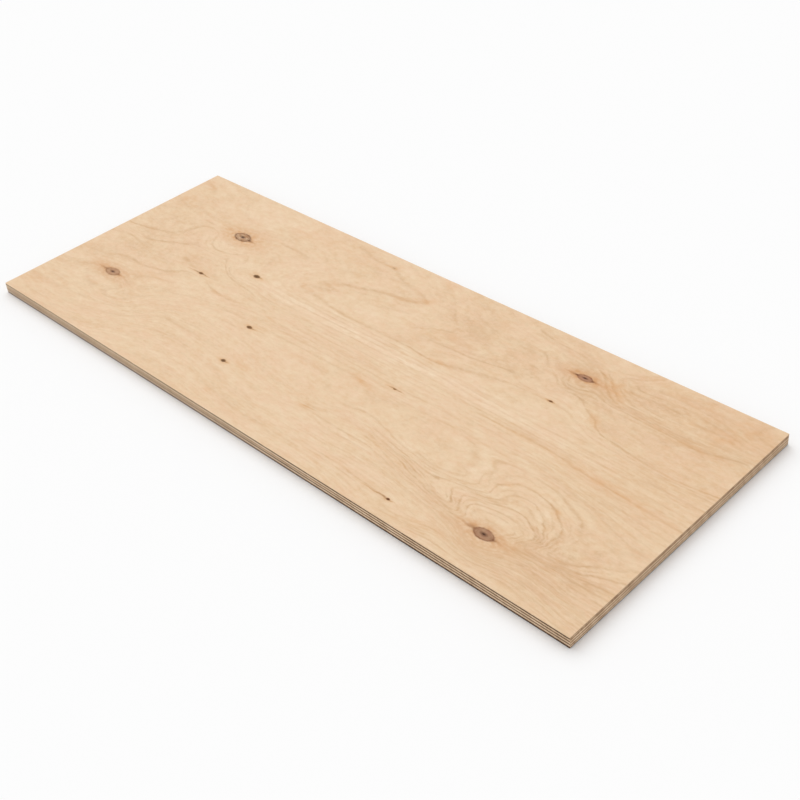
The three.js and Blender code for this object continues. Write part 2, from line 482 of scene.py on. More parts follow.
    (-2, 0.6, [(238.5, -130.5), (250, -132), (268.5, -135.5), (287, -134.5), (301, -131)]),
    (-2, 0.8, [(301, -131), (312, -129.5), (322, -129.5), (340, -131), (354, -134), (368.5, -137.5),
        (395, -140.5)]),
    (-4, 0.4, [(215, -143), (245, -143), (280, -145), (320, -141), (350, -145), (395, -149)]),
]

# quiet stretches with no line of their own: x, y and the ring number there
quietSpots = [
    (-60, 60, 20.3), (-20, 62, 20.5), (0, 78, 20.6), (-40, 75, 20.2), (20, 50, 20.4), (90, 90, 21.6),
    (60, 98, 21.4), (20, 120, 20.6), (20, 146, 21.5), (-120, 100, 18.8), (-60, 108, 19.4),
    (-200, 130, 18.7), (-200, 148, 19.3), (-250, 92, 17.2), (-250, 120, 18.2), (-345, 95, 16.6),
    (-345, 148, 18.0), (-390, 40, 15.3), (-390, 105, 16.5), (-150, 50, 17.6), (-170, 70, 16.9),
    (-390, -30, 12.4), (-390, -50, 11.6), (-330, -15, 12.8), (-280, -10, 12.5), (-390, -112, 6),
    (-390, -130, 3), (-390, -148, 0), (-300, -110, 6), (-300, -130, 3), (-300, -148, 0), (-230, -58, 9.5),
    (-230, -75, 7.5), (-230, -95, 4), (-230, -115, 1), (-230, -132, -1.5), (-230, -148, -4),
    (-130, -40, 7.8), (-130, -55, 6), (-130, -73, 4), (-130, -89, 2), (-130, -102, 0), (-130, -114, -2),
    (-130, -126, -4), (-130, -138, -6), (-130, -149, -8), (-60, -44, 7.8), (-60, -64, 6), (-60, -84, 3.7),
    (-60, -103, 1), (-60, -121, -2), (-60, -139, -5), (0, -42, 8.2), (0, -54, 7.3), (0, -68, 6.4),
    (0, -80, 5), (0, -96, 3), (0, -109, 1), (0, -121, -1), (0, -133, -3), (0, -145, -5), (60, -45, 8.6),
    (100, -48, 8.5), (130, -45, 8.5), (30, -60, 8.0), (150, -55, 8.4), (60, -74, 6), (60, -105, 1),
    (60, -118, -1), (60, -131, -3), (60, -144, -5), (130, -104, 1), (130, -111, 0), (130, -119, -1),
    (130, -135, -3), (130, -142, -4), (130, -149, -5), (180, -45, 8.6), (225, -36, 7.9), (185, -60, 7.6),
]

ringField = {
    "stretch": 0.45,       # how much shorter a step along the grain counts than one across it
    "step": 16.0,          # mm between the points kept on a drawn ring
    "give": 0.0025,        # how far a faint line may move to keep the rings smooth
    "trust": 1.5,          # how much faster a faint line gives than a strong one
    "quietWeight": 0.08,
    "stiffness": 5e-5,
    "tiny": 1e-9,          # keeps the logarithm of nothing away
    "unit": 100.0,         # mm, for the even slope under the bending
    "batches": 40,         # the sheet is worked out in this many parts, to save memory
}


# a smooth run of points through the ones given (Catmull-Rom), no further apart than step
def smoothLine(points, step):
    points = np.array(points, float)
    if len(points) == 2:
        count = max(1, int(np.ceil(np.hypot(*(points[1] - points[0])) / step)))
        return np.array([points[0] + (points[1] - points[0]) * k / count for k in range(count + 1)])
    padded = np.vstack([2 * points[0] - points[1], points, 2 * points[-1] - points[-2]])
    line = [points[0]]
    for i in range(1, len(padded) - 2):
        before, start, end, after = padded[i - 1:i + 3]
        count = max(1, int(np.ceil(np.hypot(*(end - start)) / step)))
        for k in range(1, count + 1):
            t = k / count
            bend = (2 * before - 5 * start + 4 * end - after) * t ** 2
            twist = (3 * start - before - 3 * end + after) * t ** 3
            line.append(0.5 * (2 * start + (end - before) * t + bend + twist))
    return np.array(line)


# thin-plate bending between two sets of places
def bending(places, others, setup):
    squared = ((places[:, None, 0] - others[None, :, 0]) * setup["stretch"]) ** 2
    squared += (places[:, None, 1] - others[None, :, 1]) ** 2
    return squared * np.log(squared + setup["tiny"]) * setup["stiffness"]


# the ring number as one smooth height over the whole sheet, drawn through every line
def fitRings(lines, quiet, setup):
    places, numbers, weights = [], [], []
    for number, strength, points in lines:
        line = smoothLine(points, setup["step"])
        places.append(line)
        numbers.append(np.full(len(line), float(number)))
        weights.append(np.full(len(line), abs(strength)))
    quiet = np.array(quiet, float)
    places = np.vstack(places + [quiet[:, :2]])
    numbers = np.concatenate(numbers + [quiet[:, 2]])
    weights = np.concatenate(weights + [np.full(len(quiet), setup["quietWeight"])])
    keep = np.unique(places.round(1), axis=0, return_index=True)[1]    # lines share their end points
    places, numbers, weights = places[keep], numbers[keep], weights[keep]
    count = len(places)
    system = np.zeros((count + 3, count + 3))
    give = setup["give"] / weights ** setup["trust"]
    system[:count, :count] = bending(places, places, setup) + np.diag(give)
    system[:count, count:] = np.c_[np.ones(count), places / setup["unit"]]
    system[count:, :count] = system[:count, count:].T
    answer = np.linalg.solve(system, np.r_[numbers, 0, 0, 0])

    def ringAt(spots):
        parts = np.array_split(spots, setup["batches"])
        bent = np.concatenate([bending(part, places, setup) @ answer[:count] for part in parts])
        return bent + np.c_[np.ones(len(spots)), spots / setup["unit"]] @ answer[count:]
    return ringAt


ringAt = fitRings(ringLines, quietSpots, ringField)

print("knots")

# centre, half length and half height, how pointed, tails to the left and right, mm, and degrees turned
# slit is the half length of the heart, skin and fleck the wood of the knot, stain the wood round it,
# halo how strong that stain is, marks the dark spots at its two ends, shade how dark its middle is
# lean puts the darker rim up or down, blur softens it
knots = [
    {    # back left
        "centre": (-251, 73.5), "size": (12.8, 7.4), "point": 1.5, "tails": (5, 19), "turn": -3, "slit": 1.7,
        "skin": (176, 131, 92), "fleck": (200, 166, 132), "rim": (106, 62, 20), "heart": (56, 28, 4),
        "stain": (206, 150, 96), "halo": 0.85, "lean": -0.1, "marks": (0, 0.5), "shade": 0.0, "blur": 0.1,
    },
    {    # front left
        "centre": (-312, -61.5), "size": (11.2, 6.2), "point": 1.6, "tails": (22, 14), "turn": 0, "slit": 2.0,
        "skin": (184, 140, 106), "fleck": (196, 156, 122), "rim": (144, 100, 58), "heart": (70, 28, 0),
        "stain": (202, 146, 96), "halo": 0.7, "lean": -0.1, "marks": (0.1, 0.1), "shade": 1.0, "blur": 0.1,
    },
    {    # back right
        "centre": (206, 104), "size": (9.6, 4.4), "point": 1.35, "tails": (21, 14), "turn": 0, "slit": 2.6,
        "skin": (178, 132, 102), "fleck": (186, 142, 114), "rim": (132, 82, 42), "heart": (56, 10, 0),
        "stain": (202, 146, 94), "halo": 1.0, "lean": 0.4, "marks": (0.55, 0.35), "shade": 1.2, "blur": 0.1,
    },
    {    # front right
        "centre": (269.8, -109.1), "size": (10.9, 6.2), "point": 1.8, "tails": (26, 15), "turn": -2,
        "slit": 2.0,
        "skin": (172, 128, 98), "fleck": (182, 144, 112), "rim": (128, 82, 48), "heart": (60, 24, 0),
        "stain": (200, 146, 96), "halo": 0.9, "lean": -0.2, "marks": (0.0, 0.2), "shade": 1.2, "blur": 0.1,
    },
]

# a pin knot is this with its own place and size, and whatever else it names
pinKnot = {
    "point": 1.8, "turn": 0, "slit": 1.2, "halo": 0.7, "lean": 0.0, "marks": (0, 0), "shade": 0.0,
    "blur": 0.35, "skin": (100, 66, 26), "fleck": (112, 76, 36), "rim": (126, 86, 44), "heart": (70, 40, 12),
    "stain": (210, 158, 104),
}
pinKnots = [
    {"centre": (-175.5, 29.5), "size": (4.3, 2.5), "tails": (1, 9)},
    {"centre": (-229.5, -3.5), "size": (3.2, 1.7), "tails": (22, 18), "skin": (116, 72, 28)},
    {"centre": (-108.5, -37.5), "size": (3.3, 2.1), "tails": (1, 12), "skin": (136, 92, 48),
     "heart": (104, 64, 28)},
    {"centre": (-85.2, -90.6), "size": (2.9, 2.0), "tails": (3, 8)},
    {"centre": (203, 57.8), "size": (2.2, 1.2), "tails": (6, 5), "skin": (116, 70, 30)},
    {"centre": (79, -18), "size": (1.8, 1.0), "tails": (12, 16), "skin": (156, 114, 68),
     "heart": (130, 88, 48)},
    {"centre": (180.5, -129), "size": (1.9, 1.3), "tails": (44, 8), "skin": (84, 36, 0),
     "rim": (150, 104, 60)},
    {"centre": (-69, 131), "size": (2.2, 1.4), "tails": (14, 4), "skin": (206, 170, 132),
     "rim": (212, 176, 140), "heart": (196, 156, 116)},
]

# soft spots of colour: x, y, half length, half height, turn in degrees, amount
warmSpots = [
    (0, 105, 14, 6, 15, 0.8), (-20, 95, 26, 4, 12, 0.5), (-100, 68, 9, 5, 15, 0.5),
    (-118, 50, 14, 6, -12, 0.6), (82, 39, 16, 5, 14, 0.8), (46, -28, 15, 4.5, -13, 1.3),
    (73, -17.5, 8, 3, 0, 0.7), (-106, -14, 11, 4, 0, 0.6), (-66, -83, 16, 5, -20, 0.8),
    (-98, -33, 12, 5, 25, 0.7), (31, -88, 10, 3.5, 0, 1.0), (130, -86, 34, 6, -12, 0.4),
    (200, 4, 24, 3.5, 0, 0.6), (305, -2, 70, 6, -4, 0.7), (355, 110, 14, 9, 50, 0.7),
    (241, 106, 18, 11, -42, 0.9), (222, 112, 12, 7, -30, 0.5), (196, 108, 14, 5, 30, 0.5),
    (252, 58, 16, 6, -35, 0.7), (340, 84, 55, 6, 0, 0.45), (246, -52, 10, 4, 35, 0.9),
    (300, -53, 6, 4, -45, 0.9), (225, -135, 30, 6, 12, 0.45), (-376, -122, 18, 14, 20, 0.5),
    (-375, 90, 14, 16, 40, 0.45), (-372, 130, 20, 9, -25, 0.7), (-195, 122, 24, 12, 0, 0.4),
    (-60, -132, 12, 5, 0, 0.5), (4, 144, 10, 6, 0, 0.7), (40, 145, 9, 5, 0, 0.6),
    (-338, -60, 16, 6, 0, 0.6), (-272, -42, 18, 9, 20, 0.4), (298, -107, 16, 8, 10, 0.5),
    (-250, 6, 30, 5, -20, 0.4), (-172, -17, 26, 5, 0, 0.5), (380, 44, 16, 5, 5, 0.5),
    (60, 74, 24, 8, 18, 0.35), (370, 134, 30, 12, -10, 0.5), (330, 120, 70, 26, 0, 0.25),
    (350, 30, 60, 60, 0, 0.22), (-300, 100, 90, 40, 0, 0.12), (290, 140, 30, 9, 0, 0.4),
    (-130, 122, 60, 22, -15, 0.15), (20, -60, 60, 30, 0, 0.08), (-390, 0, 10, 140, 0, 0.25),
    (255, 142, 16, 5, 20, 0.4),
]
paleSpots = [
    (200, 110, 80, 40, 0, -1.2), (330, 105, 90, 50, 0, -1.5), (340, -95, 60, 45, 0, -1.9),
    (350, 0, 60, 40, 0, -0.8), (65, 115, 60, 40, 0, -1.1), (-340, 0, 60, 170, 0, -0.6),
    (40, 21, 170, 15, 0, 1.1), (-250, 51, 24, 9, 0, 0.8), (-315, -44, 32, 7, 0, 0.8),
    (-313, -78, 30, 7, 0, 0.8), (272, -88, 30, 9, 0, 0.7), (55, -45, 17, 6, -12, 0.8),
    (0, 62, 55, 18, 0, 0.25), (-60, 24, 90, 2.5, 0, 0.6), (-20, 18, 90, 2, 0, 0.4),
    (178, -38, 20, 5, -35, 0.5), (200, -52, 26, 5, -35, 0.4), (172, 118, 14, 6, 30, 0.6),
    (230, 124, 26, 4, 12, 0.6), (300, 97, 34, 2.5, 0, 0.5), (-150, 34, 60, 14, 0, 0.2),
    (300, 62, 50, 14, 0, 0.25), (-165, 60, 40, 24, 0, 0.2), (-275, 20, 26, 8, 20, 0.3),
    (-340, 60, 20, 12, 0, 0.2), (60, 25, 200, 10, 0, 0.25), (-240, -30, 30, 9, 0, 0.25),
    (80, -57.5, 9, 1.8, 0, 0.9), (78, -13, 3.5, 1.8, 0, 0.9), (110, -50, 30, 12, 0, 0.2),
]

# where thin rings crowd together
busySpots = [
    (285, 110, 70, 26, 0, 1.0), (0, 95, 70, 36, 0, 0.7), (110, -122, 60, 24, 0, 0.8),
    (-330, 20, 60, 60, 0, 0.5), (275, -75, 70, 45, 0, 1.0), (180, -85, 60, 14, -12, 1.0),
    (350, -95, 40, 30, 0, 0.9), (215, 85, 34, 18, 0, 0.8), (150, 88, 26, 26, 0, 0.9),
    (300, 20, 90, 14, 0, 0.5), (0, 22, 160, 12, 0, 0.5), (-251, 45, 30, 16, 0, 0.5),
    (-315, -85, 40, 14, 0, 0.4), (110, 66, 40, 20, 20, 0.5), (300, 75, 60, 20, 0, 0.4),
    (-230, -95, 60, 30, 20, 0.4), (260, -140, 90, 12, 0, 0.6),
]


# how far each place is from a centre, along and across a line turned by so many degrees
def turned(places, centre, degrees):
    angle = math.radians(degrees)
    away = places - centre
    along = away[:, 0] * math.cos(angle) + away[:, 1] * math.sin(angle)
    across = away[:, 1] * math.cos(angle) - away[:, 0] * math.sin(angle)
    return along, across


# adds up soft spots at the given places
def spotsAt(spots, places, fall):
    amount = np.zeros(len(places))
    for x, y, halfLength, halfHeight, turn, strength in spots:
        along, across = turned(places, (x, y), turn)
        amount += strength * np.exp(-((along / halfLength) ** 2 + (across / halfHeight) ** 2) * fall)
    return amount


# how far each place is from the middle of a knot, 1 at its rim
def knotDistance(knot, places):
    along, across = turned(places, knot["centre"], knot["turn"])
    halfLength, halfHeight = knot["size"]
    return np.sqrt(np.abs(along / halfLength) ** 2 + np.abs(across / halfHeight) ** knot["point"])


print("face veneer")

faceVeneer = {
    "coarse": 2.2,         # mm between the mesh lines
    "fine": 0.9,           # mm, over the big knots
    "fineMargin": (3, 2),  # mm kept fine beyond a knot, along and across
    "easing": 0.3,         # the sanded arris
    "cornerRadius": 0.6,
    "rimGroove": 0.10,     # mm deep, round a knot
    "rimAt": 0.97,         # where it lies and how wide it is, in knot sizes
    "rimWidth": 0.10,
    "heartDepth": 0.30,    # the check in the middle of a knot
    "heartWidth": 0.13,
    "lineReach": 3.2,      # mm, how wide a drawn ring darkens its own line
    "lineStep": 2.0,       # mm between the points that carry the darkening
    "lineEnd": 7.0,        # mm, and it stops altogether here
    "slopeStep": 0.5,      # mm either way, to find how steeply the ring number climbs
    "widest": 14.0,        # mm, the most that one ring counts for where they run flat
    "tightest": 0.5,
    "wildness": 1.5,       # how soon a ring that crosses the sheet counts as wild grain
    "wildLeast": 0.05,
    "spotFall": 1.2,       # how fast a soft spot of colour fades
    "edgeSlope": 0.2,      # a face whose normal rises less than this is the sawn edge
    "flatSlope": 0.95,     # and one that rises more is shaded smooth
}


# evenly spaced mesh lines from low to high, closer together where the knots are
def meshLines(low, high, coarse, fine, busy):
    stops = sorted({low, high, *(edge for span in busy for edge in span if low < edge < high)})
    lines = [low]
    for start, end in zip(stops[:-1], stops[1:]):
        middle = (start + end) / 2
        step = fine if any(a < middle < b for a, b in busy) else coarse
        count = max(1, math.ceil((end - start) / step))
        lines += [start + (end - start) * k / count for k in range(1, count + 1)]
    return np.array(lines)


# the mesh lines that cross the length (axis 0) or the width (axis 1) of the face
def faceLines(setup, axis):
    half, margin = panelHalf[axis], setup["fineMargin"][axis]
    busy = []
    for knot in knots:
        middle, reach = knot["centre"][axis], knot["size"][axis]
        busy.append((middle - reach - margin, middle + reach + margin))
    square = half - setup["cornerRadius"]
    lines = meshLines(-square, square, setup["coarse"], setup["fine"], busy)
    return np.r_[-half + setup["easing"], lines, half - setup["easing"]]


def newPiece(name, points, faces, replaced):
    mesh = bpy.data.meshes.new(name)
    mesh.from_pydata((np.asarray(points) * mm).tolist(), [], faces)
    mesh.update()
    piece = bpy.data.objects.new(name, mesh)
    bpy.context.scene.collection.objects.link(piece)
    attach(piece, "root")
    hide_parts(replaced)
    return piece


# faces between two closed rows of points
def ladder(first, second):
    count = len(first)
    return [(first[k], first[(k + 1) % count], second[(k + 1) % count], second[k]) for k in range(count)]


# a named value at each point of a mesh, for its material to read
def addValues(mesh, name, values):
    layer = mesh.attributes.new(name, "FLOAT", "POINT")
    layer.data.foreach_set("value", np.asarray(values, np.float32))


# the outline of the face pushed out until it is inset from the edge of the panel
def pushedOut(outline, inset, setup):
    spot = outline.copy()
    easing = setup["easing"]
    for axis, half in enumerate(panelHalf):
        atRim = np.abs(spot[:, axis]) > half - easing - hair
        spot[:, axis] = np.where(atRim, np.sign(spot[:, axis]) * (half - inset), spot[:, axis])
    corner = (np.abs(spot) > np.array(panelHalf) - easing).all(1)
    spot[corner] -= np.sign(spot[corner]) * setup["cornerRadius"] * rounding
    return spot


# how strongly whole rings (half 0) or half rings (half 0.5) are drawn at each mesh point, or with sign -1
# the pale streaks
def drawnLines(setup, xLines, yLines, half, sign):
    grid = np.zeros((len(yLines), len(xLines)))
    end = setup["lineEnd"]
    for number, strength, line in ringLines:
        strength *= sign
        if number % 1 != half or strength < 0:
            continue
        for x, y in smoothLine(line, setup["lineStep"]):
            left, right = np.searchsorted(xLines, (x - end, x + end))
            front, rear = np.searchsorted(yLines, (y - end, y + end))
            if left < right and front < rear:
                part = grid[front:rear, left:right]
                away = (xLines[None, left:right] - x) ** 2 + (yLines[front:rear, None] - y) ** 2
                np.maximum(part, strength * np.exp(-away / setup["lineReach"] ** 2), out=part)
    return grid.ravel()


# a fine grid for the flat of the face, with its rim carried over the arris and down to the first glue line
def makeFaceVeneer(setup, nodeName):
    low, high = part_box(nodeName)
    bottom, top = low.z / mm, high.z / mm
    easing = setup["easing"]
    xLines, yLines = faceLines(setup, 0), faceLines(setup, 1)
    gridX, gridY = np.meshgrid(xLines, yLines)
    places = np.c_[gridX.ravel(), gridY.ravel()]
    height = np.full(len(places), top)
    for knot in knots:
        reach = knotDistance(knot, places)
        height -= setup["rimGroove"] * np.exp(-((reach - setup["rimAt"]) / setup["rimWidth"]) ** 2)
        height -= setup["heartDepth"] * np.exp(-(reach / setup["heartWidth"]) ** 2)
    points = np.c_[places, height]
    index = np.arange(len(points)).reshape(gridX.shape)
    faces = np.stack([index[:-1, :-1], index[:-1, 1:], index[1:, 1:], index[1:, :-1]], -1)
    faces = faces.reshape(-1, 4).tolist()
    rim = np.r_[index[0, :-1], index[:-1, -1], index[-1, :0:-1], index[:0:-1, 0]]
    rows = [rim]
    for inset, level in ((easing * rounding, top - easing * rounding), (0, top - easing),
                         (0, (top + bottom) / 2 - easing / 2), (0, bottom)):
        spot = pushedOut(places[rim], inset, setup)
        rows.append(np.arange(len(rim)) + len(points))
        points = np.vstack([points, np.c_[spot, np.full(len(spot), level)]])
    for upper, lower in zip(rows[:-1], rows[1:]):
        faces += [tuple(reversed(face)) for face in ladder(upper.tolist(), lower.tolist())]
    faces.append(tuple(reversed(rows[-1].tolist())))
    piece = newPiece("face_veneer_sanded", points, faces, nodeName)
    carryRings(piece.data, points[:, :2], xLines, yLines, setup)
    return piece


# everything that the face's material reads at each point
def carryRings(mesh, flat, xLines, yLines, setup):
    step = setup["slopeStep"]
    slopeY = ringAt(flat + (0, step)) - ringAt(flat - (0, step))
    slopeX = ringAt(flat + (step, 0)) - ringAt(flat - (step, 0))
    slope = np.hypot(slopeX, slopeY)
    wild = np.abs(slopeX) / slope * setup["wildness"]
    addValues(mesh, "ring", ringAt(flat))
    addValues(mesh, "pitch", 1 / np.clip(slope, 1 / setup["widest"], 1 / setup["tightest"]))
    for name, half, sign in (("drawn", 0.0, 1), ("half", 0.5, 1), ("streak", 0.5, -1)):
        drawn = drawnLines(setup, xLines, yLines, half, sign)
        addValues(mesh, name, np.r_[drawn, np.zeros(len(flat) - len(drawn))])
    addValues(mesh, "wild", np.clip(wild, setup["wildLeast"], 1))
    for name, spots in (("busy", busySpots), ("warm", warmSpots), ("pale", paleSpots)):
        addValues(mesh, name, spotsAt(spots, flat, setup["spotFall"]))


# lengths are shares of the knot's own size unless they are in mm
knotLook = {
    "flatPatch": 1.5,              # how much flatter than long its patches are
    # patches of tone: length in mm, detail, roughness, shift
    "raggedPatch": (3.0, 3.0, 0.5, 2.3),
    "haloPatch": (7.0, 2.0, 0.5, 4.1),
    "swayPatch": (9.0, 1.0, 0.5, 8.8),
    "skinPatch": (5.0, 2.0, 0.5, 6.4),
    "rimPatch": (6.0, 2.0, 0.5, 1.9),
    "ragged": 0.30,                # how ragged the outline is
    "haloSize": (2.6, 2.0),
    "haloFall": -1.3,
    "haloRange": (-0.16, 0.16, 0.3, 1.25),    # from the first two to the last two
    "tailFrom": 0.75,              # where a tail leaves the knot
    "tailGirth": 0.24,
    "tailThin": 0.5,               # mm at its tip
    "tailSway": 3.0,               # mm
    "tailFade": 0.7,
    "tailRange": (-0.25, 0.15, 0.4, 0.95),
    "skinRange": (-0.12, 0.12),
    "yearRings": 19.0,             # the higher, the more rings inside the knot
    "yearRange": (0.2, 1.0),
    "yearDark": 0.22,
    "spokes": (1.0, 0.5, 7.7, 3.2),           # checks from the heart: detail, roughness, shift, scale
    "spokeRange": (0.54, 0.66),
    "spokeFade": (0.12, 0.62, 1.0, 0.0),
    "spokeDark": 0.55,
    "rimAt": 0.90,
    "rimWidth": 0.13,
    "rimRange": (-0.15, 0.15, 0.45, 1.0),
    "rimDark": 0.85,
    "edgeAt": 0.97,                # where the knot's own wood ends
    "middleHeight": 0.5,
    "middleFade": (0.2, 1.0, 0.32, 0.1),
    "markAt": 0.93,
    "markSize": (0.28, 0.9),       # the second is in mm
    "heartGirth": 0.24,
}


# one knot drawn in mm: takes the colour of the wood round it and gives that colour back with the knot on it
def knotGroup(look):
    group = bpy.data.node_groups.new("knot in the face", "ShaderNodeTree")
    for kind, names in (("Color", ("Wood", "Skin", "Fleck", "Rim", "Heart", "Stain")), ("Vector", ("Place",)),
                        ("Float", ("Centre X", "Centre Y", "Half length", "Half height", "Point", "Left tail",
                                   "Right tail", "Turn", "Halo", "Slit", "Lean", "Blur", "Left mark",
                                   "Right mark", "Shade"))):
        for name in names:
            group.interface.new_socket(name, in_out="INPUT", socket_type="NodeSocket" + kind)
    group.interface.new_socket("Colour", in_out="OUTPUT", socket_type="NodeSocketColor")
    given = {socket.name: Value(socket) for socket in group.nodes.new("NodeGroupInput").outputs}
    split = group.nodes.new("ShaderNodeSeparateXYZ")
    put(given["Place"], split.inputs[0])
    placeX, placeY = Value(split.outputs[0]), Value(split.outputs[1])
    x, y = placeX - given["Centre X"], placeY - given["Centre Y"]
    cosine, sine = calc("COSINE", given["Turn"]), calc("SINE", given["Turn"])
    along, across = x * cosine + y * sine, y * cosine - x * sine

    def patch(name):
        size, *noise = look[name]
        return patches(placeX, placeY, (size, size / look["flatPatch"], *noise))

    ragged = patch("raggedPatch")
    awayX, awayY = abs(along) / given["Half length"], abs(across) / given["Half height"]
    reach = calc("SQRT", awayX * awayX + awayY ** given["Point"]) + ragged * look["ragged"]

    # stained wood round the knot
    haloX, haloY = (away / size for away, size in zip((awayX, awayY), look["haloSize"]))
    halo = calc("EXPONENT", (haloX * haloX + haloY * haloY) * look["haloFall"]) * given["Halo"]
    halo = halo * spread(patch("haloPatch"), *look["haloRange"])
    colour = blend(calc("MINIMUM", halo, 1.0), given["Wood"], given["Stain"])

    # tails run out along the grain from each end
    onRight = calc("GREATER_THAN", along, 0.0)

    def oneSide(what):
        return onRight * given["Right " + what] + (1.0 - onRight) * given["Left " + what]

    beyond = abs(along) - given["Half length"] * look["tailFrom"]
    run = spread(beyond / oneSide("tail"), 0.0, 1.0, 1.0, 0.0)
    girth = given["Half height"] * run * look["tailGirth"] + look["tailThin"]
    tail = hump(across + patch("swayPatch") * look["tailSway"] + ragged, girth)
    tail = (tail * spread(run, 0.0, look["tailFade"]) * spread(ragged, *look["tailRange"])
            * calc("GREATER_THAN", beyond, 0.0))
    colour = blend(tail, colour, blend(run * run, given["Stain"], given["Rim"]))

    # the knot's own wood: patchy skin, faint rings and spokes
    skin = blend(spread(patch("skinPatch"), *look["skinRange"]), given["Skin"], given["Fleck"])
    yearRings = spread(calc("COSINE", reach * look["yearRings"]), *look["yearRange"])
    skin = blend(yearRings * look["yearDark"], skin, given["Rim"])
    way = vector(along / given["Half length"] / reach, across / given["Half height"] / reach)
    spokes = spread(cloud(way, *look["spokes"]), *look["spokeRange"]) * spread(reach, *look["spokeFade"])
    inside = spread((reach - look["edgeAt"]) / given["Blur"], -1, 1, 1, 0, smooth=True)
    colour = blend(inside, colour, skin)

    # its dark rim, middle, end marks and heart
    lean = given["Lean"] * (across / given["Half height"]) + 1.0
    rim = hump(reach - look["rimAt"], look["rimWidth"]) * lean * spread(patch("rimPatch"), *look["rimRange"])
    colour = blend(spread(rim, 0.0, 1.0, 0.0, look["rimDark"]), colour, given["Rim"])
    middle = hump(awayY, look["middleHeight"]) * spread(awayX, *look["middleFade"]) * given["Shade"]
    colour = blend(middle * inside, colour, given["Rim"])
    markLength, markHeight = look["markSize"]
    mark = hump(awayX - look["markAt"], markLength) * hump(across, markHeight) * oneSide("mark")
    colour = blend(mark, colour, given["Heart"])
    heartX = along / given["Slit"]
    heartReach = calc("SQRT", heartX * heartX + across * across)
    heart = hump(heartReach, given["Half height"] * look["heartGirth"])
    dark = calc("MAXIMUM", heart, spokes * look["spokeDark"])
    put(blend(dark, colour, given["Heart"]), group.nodes.new("NodeGroupOutput").inputs["Colour"])
    return group


def addKnot(group, place, wood, knot):
    node = place.tree.nodes.new("ShaderNodeGroup")
    node.node_tree = group
    put(wood, node.inputs["Wood"])
    put(place, node.inputs["Place"])
    for part, first, second in (("centre", "Centre X", "Centre Y"), ("size", "Half length", "Half height"),
                                ("tails", "Left tail", "Right tail"), ("marks", "Left mark", "Right mark")):
        put(knot[part][0], node.inputs[first])
        put(knot[part][1], node.inputs[second])
    put(math.radians(knot["turn"]), node.inputs["Turn"])
    for part in ("point", "halo", "slit", "lean", "blur", "shade"):
        put(knot[part], node.inputs[part.capitalize()])
    for part in ("skin", "fleck", "rim", "heart", "stain"):
        put(paint(*knot[part]), node.inputs[part.capitalize()])
    return Value(node.outputs["Colour"])


faceFinish = {
    "tones": ((0.0, (184, 145, 106)), (0.35, (211, 177, 141)), (0.6, (228, 201, 167)), (0.8, (236, 212, 182)),
              (1.0, (243, 222, 195))),
    "middle": 0.615,
    "ringColour": (194, 155, 113),
    "ringDark": 0.44,      # a ring drawn at full strength
    "ringShade": 0.10,     # the soft shade beside it
    "shadeWidth": 3.4,     # mm
    "ringFaint": 0.08,     # rings that are not drawn
    "fineRings": 0.29,     # thin rings between them
    "fineCount": 2.0,      # how many of those to a ring
    "fineWander": 1.5,
    "fineWidth": 0.95,     # mm
    "fineLeast": 0.15,     # how much of them is left where they don't crowd
    "band": 0.36,          # broad tone that follows the rings
    "fineBand": 0.29,
    "fibre": 0.17,
    "pores": 0.26,         # short fine dark lines along the grain
    "mottle": 0.41,
    "fleck": 0.24,
    "mottleShare": (0.9, 0.5),     # of those two: everywhere, and more where thin rings crowd
    "pale": 0.10,
    "paleStreak": 0.11,
    "rosy": (230, 194, 164),
    "rosyFleck": 0.8,
    "warmColour": (212, 160, 108),
    "warm": 0.42,
    "mostCover": 0.9,      # rings and stains never cover the wood by more than this
    # how far the rings stray, mm: slowly, quickly, and where the grain is wild
    "wander": 2.6,
    "crinkle": 1.0,
    "wildCrinkle": 7.0,
    "ringBump": -0.4,
    "poreBump": -0.5,
    "roughMottle": 0.6,
    "bumpDepth": 0.02,     # mm
    # patches of tone: length and width in mm, detail, roughness, shift
    "streaks": {
        "wander": (26, 6, 3, 0.5, 1.1), "crinkle": (7, 2.2, 2, 0.5, 4.2), "wildCrinkle": (8, 7, 3, 0.6, 7.3),
        "width": (30, 8, 2, 0.5, 9.4), "line": (34, 12, 3, 0.5, 5.5), "lineGaps": (7, 4, 2, 0.5, 2.2),
        "faint": (60, 14, 3, 0.5, 3.7), "fineWander": (90, 30, 2, 0.5, 1.8), "fine": (22, 6, 3, 0.5, 6.6),
        "fibre": (16, 0.55, 2, 0.6, 8.2), "pores": (3.2, 0.12, 1, 0.5, 0.4),
    },
    # patches that run with the rings: how fast they change from ring to ring, then the same five
    "ringPatches": {
        "band": (0.75, 130, 90, 2, 0.5, 0.7), "fineBand": (3.1, 60, 26, 3, 0.6, 6.1),
        "mottle": (0.9, 18, 11, 3, 0.6, 2.9), "fleck": (2.2, 5, 3.2, 2, 0.6, 5.2),
        "rosy": (0.4, 40, 22, 2, 0.5, 8.3), "stain": (1.6, 12, 7, 3, 0.5, 4.9),
        "warmFlecks": (1.3, 9, 5, 3, 0.65, 3.3),
    },
    # tone from the first to the second of these becomes the third to the fourth
    "ranges": {
        "width": (-0.2, 0.2, 0.7, 1.9), "line": (-0.18, 0.18, 0.3, 1.25), "lineGaps": (-0.2, 0.2, 0.4, 1.3),
        "faint": (-0.12, 0.2, 0.0, 1.0), "fine": (-0.12, 0.16, 0.0, 1.2), "pores": (-0.18, -0.03, 1.0, 0.0),
        "rosy": (-0.1, 0.2, 0.0, 0.4), "stain": (-0.15, 0.15, 0.3, 1.3),
        "warmFlecks": (-0.1, 0.15, 0.0, 0.22), "roughness": (-0.2, 0.2, 0.55, 0.70),
    },
}


